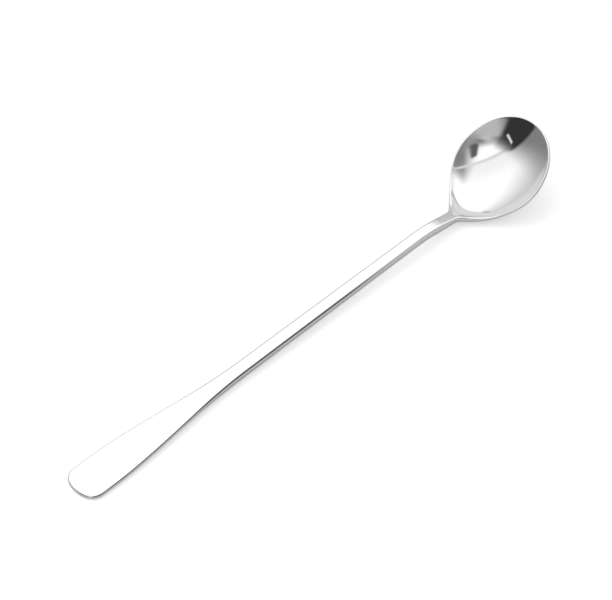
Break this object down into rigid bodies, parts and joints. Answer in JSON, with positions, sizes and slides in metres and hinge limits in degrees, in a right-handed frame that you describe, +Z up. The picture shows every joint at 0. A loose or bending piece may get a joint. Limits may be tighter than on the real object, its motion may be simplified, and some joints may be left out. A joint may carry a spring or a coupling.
{
  "type": "iced tea spoon",
  "caption": "Long-handled spoon with a small oval bowl, a bent neck and a slim stem that widens to a flat rounded end, for stirring drinks in tall glasses.",
  "frame": {"origin": "middle of the bounding box, on the table that the spoon rests on", "axes": "+X along the spoon from the handle's end to the tip of the bowl, +Y across it, +Z up out of the hollow"},
  "size_m": [0.195, 0.0324, 0.02],
  "materials": {
    "polished_steel": "mirror-polished stainless steel, with fine hairline scratches"
  },
  "bodies": {
    "root": {"bowl": "polished_steel", "handle": "polished_steel"}
  },
  "joints": []
}
